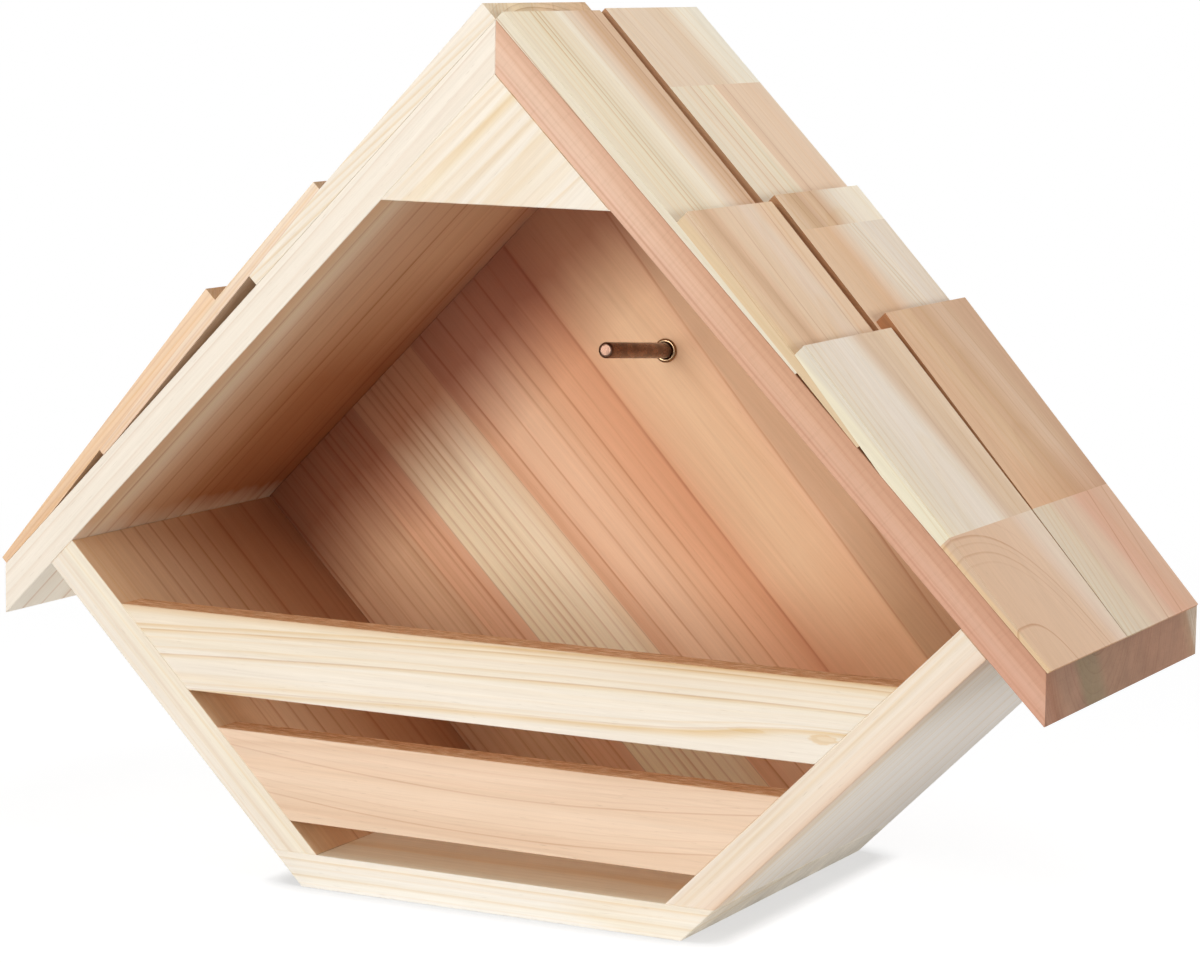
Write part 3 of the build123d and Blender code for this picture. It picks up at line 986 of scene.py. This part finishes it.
right_shingle(
    "back_3_toe",
    [(80, (228, 212, 188)), (92, (227, 208, 184)), (103, (227, 206, 179)), (108, (226, 198, 172)),
     (112, (224, 193, 168)), (121, (228, 198, 171)), (129, (226, 190, 163)), (136, (225, 178, 151)),
     (148, (223, 176, 147)), (156, (222, 180, 152)), (176, (226, 188, 160))],
    lines=[(112, 0.15, 1.0), (137, 0.6, 0.9), (154, 0.4, 0.9)],
    rings=[(84, 0.5, 1), (88, 0.4, 1), (93, 0.5, 1), (98, 0.4, 1), (104, 0.3, 1)],
    tilt=-0.4, middle=303, heart=(130, -50), line=0.2, seed=30)
print("right slope dressed")

# %% [markdown]
# On the left slope only the shingles' front edges face the camera, yet the slope counts
# from every other side. Each edge shows its shingle's wood cut at an angle, so the lines
# there run out quickly.

# %% Left slope
SAND = (238, 212, 180)
dress(
    "left_shingle_front_1", left_slope,
    [(-12, CREAM), (0, CREAM), (20, STRAW), (48, OAT), (80, BISCUIT), (95, SAND)],
    lines=[(44, 0.3, 1), (70, 0.4, 1)],
    rings=[(-9, 0.4, 0.8), (-6.4, 0.6, 0.9), (-3.4, 0.6, 0.9), (-1, 0.5, 0.8), (2, 0.6, 0.9),
           (5, 0.5, 0.9), (26, 0.5, 1)],
    tilt=-0.075, slant=1.0, middle=80, heart=(40, 80), end=(0.92, 0.84, 0.72), end_line=0.9, seed=41)
dress(
    "left_shingle_front_2", left_slope,
    [(-12, (242, 224, 200)), (-6, (239, 214, 189)), (0, (236, 205, 177)), (30, SAND), (60, BISCUIT),
     (95, TAN)],
    lines=[(-6, 0.3, 0.5), (-3.5, 0.35, 0.5), (0, 0.3, 0.5), (22, 0.3, 1), (58, 0.4, 1.2)],
    rings=[(-8, 0.5, 0.8), (-4.8, 0.5, 0.8), (-1.8, 0.4, 0.8), (3, 0.4, 0.8)],
    tilt=0.05, slant=1.0, middle=180, heart=(30, 60), seed=42)
dress(
    "left_shingle_front_3", left_slope,
    [(-16, (240, 210, 178)), (-6, (236, 202, 168)), (0, (232, 194, 158)), (30, TAN), (60, HONEY),
     (95, TOAST)],
    lines=[(-12, 0.2, 0.5), (-9.4, 0.3, 0.5), (-5, 0.25, 0.5), (-2, 0.35, 0.5), (1.5, 0.3, 0.5),
           (34, 0.3, 1), (70, 0.3, 1)],
    rings=[(-7, 0.5, 0.8), (-3.6, 0.5, 0.8), (4, 0.4, 0.8)],
    tilt=0.045, slant=1.0, middle=240, heart=(50, 70), seed=43)
dress(
    "left_shingle_back_1", left_slope,
    [(84, OAT), (110, STRAW), (140, BISCUIT), (176, MILK)],
    lines=[(104, 0.3, 1), (126, 0.3, 1), (150, 0.3, 1)],
    tilt=0.06, middle=80, heart=(120, 70), seed=44)
dress(
    "left_shingle_back_2", left_slope,
    [(84, TAN), (100, HONEY), (128, TAN), (150, LINEN), (176, STRAW)],
    lines=[(112, 0.35, 1), (139, 0.3, 1)],
    tilt=-0.05, middle=180, heart=(140, 60), seed=45)
dress(
    "left_shingle_back_3", left_slope,
    [(84, ROSE), (110, TOAST), (140, TAN), (176, BISCUIT)],
    lines=[(101, 0.3, 1), (133, 0.4, 1.2), (160, 0.3, 1)],
    tilt=0.1, middle=250, heart=(110, 60), seed=46)
print("left slope dressed")

# %% [markdown]
# ## The peg
#
# A round bronze-coloured metal peg with a rolled ring round its root, on the back panel.
# It was driven in a little crooked, so its tip points slightly up. The solid peg is
# straight; here a plain disc is extruded into the shank, its tip is rounded by a bevel,
# and the whole is turned about its root. A stack of circles would give the same shape,
# but the edge loops at the tip would all have to be placed by hand.

# %% Bronze
DRAWING_MARKS = (0.0006, 0.012, 0.0006)
DULL_PATCHES = (0.004, 0.006, 0.004)


def bronze(name, colour, roughness):
    """Worn bronze plating: fine drawing marks along the peg and slightly dull patches."""
    w = Wiring(bpy.data.materials.new(name))
    place = w.node("TexCoord").outputs["Object"]
    drawn = w.noise(place, DRAWING_MARKS, 3.0, 0.6)
    dull = w.noise(place, DULL_PATCHES, 3.0, 0.6)
    dark = tuple(c * 0.55 for c in colour[:3]) + (1.0,)
    tone = mix(w, w.span(dull, 0.35, 0.7), colour, dark)
    tone = mix(w, w.span(drawn, 0.3, 0.8, 0.0, 0.35), tone, dark)
    rough = w.times(dull, 0.2, roughness)
    bump = w.node("Bump", {"Strength": 0.25, "Distance": 0.00005, "Height": drawn}).outputs[0]
    skin = {"Base Color": tone, "Roughness": rough, "Normal": bump, "Metallic": 1.0}
    return w.surface(w.node("BsdfPrincipled", skin).outputs[0])


plating = bronze("bronze_plating", srgb(138, 107, 91), 0.18)
ring_plating = bronze("bronze_ring", srgb(186, 154, 120), 0.10)
print("bronze ready")

# %% The shank
ROOT = Vector((0.0, 68.0, 214.0)) * MM
SHANK_RADIUS = 3.4 * MM
SHANK_LENGTH = 59.0 * MM
SUNK = 1.0 * MM
TIP_ROUNDING = 0.9 * MM
CROWN_EDGE = 0.8 * MM
CROWN_HEIGHT = 0.15 * MM
CROOKED = math.radians(5.0)


def pick_faces(piece, wanted):
    """Select the faces of a piece in edit mode for which wanted(centre) holds."""
    bpy.ops.object.mode_set(mode="OBJECT")
    for part in (piece.data.vertices, piece.data.edges, piece.data.polygons):
        for one in part:
            one.select = False
    for face in piece.data.polygons:
        face.select = wanted(face.center)
    bpy.ops.object.mode_set(mode="EDIT")


bpy.ops.object.select_all(action="DESELECT")
bpy.ops.mesh.primitive_circle_add(
    vertices=48, radius=SHANK_RADIUS, fill_type="NGON",
    location=ROOT + Vector((0, SUNK, 0)), rotation=(math.radians(90), 0, 0))
shank = bpy.context.object
shank.name = "peg_shank"
bpy.ops.object.transform_apply(location=True, rotation=True)
bpy.ops.object.mode_set(mode="EDIT")
bpy.ops.mesh.select_all(action="SELECT")
bpy.ops.mesh.extrude_region_move(TRANSFORM_OT_translate={"value": (0, -SHANK_LENGTH, 0)})
tip_at = ROOT.y + SUNK - SHANK_LENGTH
pick_faces(shank, lambda centre: abs(centre.y - tip_at) < 0.1 * MM)
bpy.ops.mesh.select_mode(type="FACE")
bpy.ops.mesh.bevel(offset=TIP_ROUNDING, segments=4, affect="EDGES")
pick_faces(shank, lambda centre: abs(centre.y - tip_at) < 0.05 * MM)
bpy.ops.mesh.inset(thickness=CROWN_EDGE)
bpy.ops.transform.translate(value=(0, -CROWN_HEIGHT, 0))
bpy.ops.mesh.select_all(action="SELECT")
bpy.ops.mesh.normals_make_consistent(inside=False)
bpy.ops.transform.rotate(value=CROOKED, orient_axis="X", center_override=ROOT)
bpy.ops.object.mode_set(mode="OBJECT")
bpy.ops.object.shade_smooth_by_angle(angle=math.radians(35))
shank.data.materials.append(plating)
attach(shank, "root")
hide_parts("peg")
corners = [v.co / MM for v in shank.data.vertices]
print("shank's highest and foremost mm:", round(max(c.z for c in corners), 1),
      round(min(c.y for c in corners), 1))

# %% [markdown]
# The ring at the root is a rolled rim, round in section. A torus could be added whole;
# here a small circle is spun about the peg's line, because its section can then be
# flattened against the wood, as the real rim is, before it goes round.

# %% The rolled ring
RING_MIDDLE = 4.25 * MM
RIM = 1.0 * MM
OFF_WOOD = 0.8 * MM
FLATTENED = 0.85

bpy.ops.object.select_all(action="DESELECT")
bpy.ops.mesh.primitive_circle_add(
    vertices=20, radius=RIM, location=ROOT + Vector((RING_MIDDLE, -OFF_WOOD, 0)))
ring = bpy.context.object
ring.name = "peg_ring"
bpy.ops.object.transform_apply(location=True)
bpy.ops.object.mode_set(mode="EDIT")
bpy.ops.mesh.select_all(action="SELECT")
bpy.ops.transform.resize(value=(1.0, FLATTENED, 1.0), center_override=ROOT)
bpy.ops.mesh.spin(steps=64, angle=math.radians(360), center=ROOT, axis=(0, 1, 0))
bpy.ops.mesh.select_all(action="SELECT")
bpy.ops.mesh.remove_doubles(threshold=0.01 * MM)
bpy.ops.mesh.normals_make_consistent(inside=False)
bpy.ops.object.mode_set(mode="OBJECT")
bpy.ops.object.shade_smooth()
ring.data.materials.append(ring_plating)
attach(ring, "root")
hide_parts("peg_collar")
print("ring faces:", len(ring.data.polygons))
